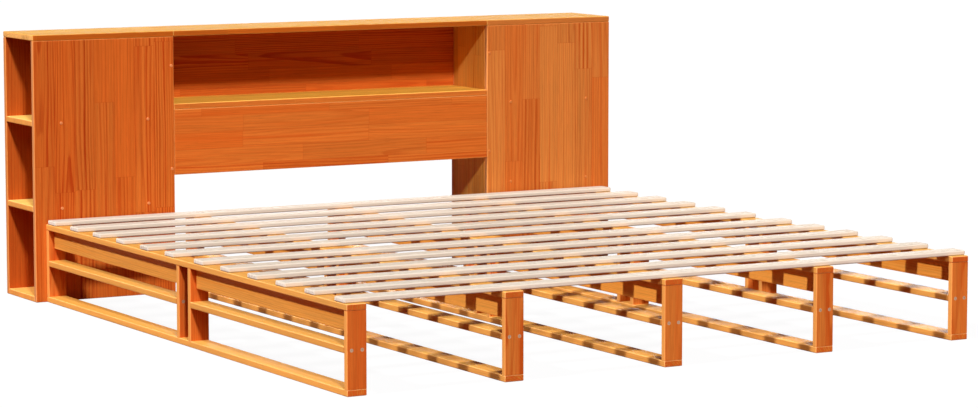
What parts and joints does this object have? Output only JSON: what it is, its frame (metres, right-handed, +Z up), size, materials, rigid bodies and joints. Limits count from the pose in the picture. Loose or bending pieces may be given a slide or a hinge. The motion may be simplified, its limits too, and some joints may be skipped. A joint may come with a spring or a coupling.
{
  "type": "bookcase headboard bed",
  "caption": "Double bed of stained pine: low ladder frames under pale slats, with a wide bookcase headboard of open side bays and a middle cubby.",
  "frame": {"origin": "on the floor, at the middle of the bounding box's base", "axes": "+X to the right seen from the foot, +Y from the foot of the bed to the headboard, +Z up"},
  "size_m": [2.07, 2.258, 0.825],
  "materials": {
    "stained_pine": "satin",
    "pale_pine": "matte",
    "beech": "matte",
    "zinc_steel": "satin",
    "cover": "satin"
  },
  "bodies": {
    "root": {"left_outer_bottom_plank": "stained_pine", "left_outer_top_plank": "stained_pine", "left_outer_posts": "stained_pine", "left_outer_mid_rails": "stained_pine", "left_outer_stiffeners": "stained_pine", "left_inner_bottom_plank": "stained_pine", "left_inner_top_plank": "stained_pine", "left_inner_posts": "stained_pine", "left_inner_mid_rails": "stained_pine", "left_inner_stiffeners": "stained_pine", "centre_bottom_plank": "stained_pine", "centre_top_plank": "stained_pine", "centre_posts": "stained_pine", "centre_mid_rails": "stained_pine", "centre_stiffeners": "stained_pine", "right_inner_bottom_plank": "stained_pine", "right_inner_top_plank": "stained_pine", "right_inner_posts": "stained_pine", "right_inner_mid_rails": "stained_pine", "right_inner_stiffeners": "stained_pine", "right_outer_bottom_plank": "stained_pine", "right_outer_top_plank": "stained_pine", "right_outer_posts": "stained_pine", "right_outer_mid_rails": "stained_pine", "right_outer_stiffeners": "stained_pine", "slat_01": "pale_pine", "slat_02": "pale_pine", "slat_03": "pale_pine", "slat_04": "pale_pine", "slat_05": "pale_pine", "slat_06": "pale_pine", "slat_07": "pale_pine", "slat_08": "pale_pine", "slat_09": "pale_pine", "slat_10": "pale_pine", "slat_11": "pale_pine", "slat_12": "pale_pine", "left_front_panel": "stained_pine", "left_back_panel": "stained_pine", "left_inner_side": "stained_pine", "left_top_board": "stained_pine", "left_bottom_board": "stained_pine", "left_shelves": "stained_pine", "right_front_panel": "stained_pine", "right_back_panel": "stained_pine", "right_inner_side": "stained_pine", "right_top_board": "stained_pine", "right_bottom_board": "stained_pine", "right_shelves": "stained_pine", "middle_top_board": "stained_pine", "cubby_shelf": "stained_pine", "cubby_back": "stained_pine", "apron": "stained_pine", "dowels": "beech", "rail_screws": "zinc_steel", "slat_screws": "zinc_steel", "panel_screws": "zinc_steel", "screw_covers": "cover", "link_bolts": "zinc_steel"}
  },
  "joints": []
}
